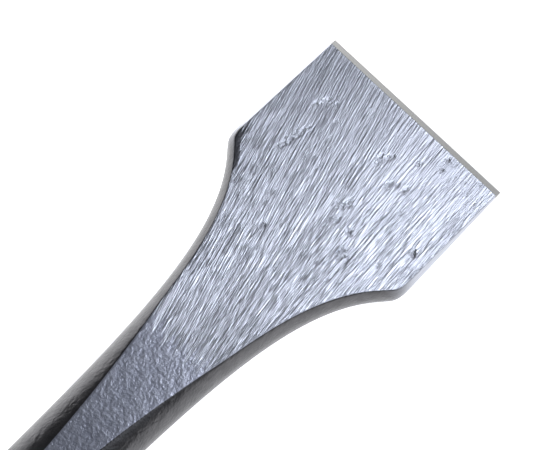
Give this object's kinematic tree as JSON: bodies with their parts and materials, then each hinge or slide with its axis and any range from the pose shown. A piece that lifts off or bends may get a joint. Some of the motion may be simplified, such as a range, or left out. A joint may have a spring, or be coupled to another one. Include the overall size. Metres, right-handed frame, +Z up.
{
  "type": "brick bolster chisel",
  "caption": "Hand-struck brick bolster: flared ground steel blade and round shank in one forging, with a ribbed soft grip and a dished pull-off hand guard.",
  "frame": {"origin": "middle of the tool's footprint on the surface it lies on, halfway between the cutting edge and the struck face, on the blade's centre plane", "axes": "+X from the cutting edge towards the struck end, +Z up from the surface, +Y across the blade; the shank rises 10.13 degrees from +X because the tool lies on its lower bevel line and on the guard's rim"},
  "size_m": [0.2514, 0.0784, 0.0773],
  "materials": {
    "forged_steel": "coarse ground faces, shot-blasted dark neck and sides",
    "hard_black": "fine moulded texture, satin",
    "hard_blue": "fine moulded texture, satin",
    "soft_black": "soft-touch moulding, matt",
    "plain_rubber": "matt"
  },
  "bodies": {
    "chisel": {"forging": "forged_steel", "front_collar": "hard_black", "grip_core": "hard_blue", "grip_cover": "soft_black", "lock_ring": "hard_black", "cushion_washer": "plain_rubber"},
    "guard": {"guard_hub": "hard_blue", "guard_shield": "soft_black", "guard_friction_ring": "plain_rubber"}
  },
  "joints": [
    {"name": "guard_slide", "type": "slide", "parent": "chisel", "child": "guard", "axis": [0.9844, 0, 0.1758], "range_m": [0, 0.05]}
  ]
}
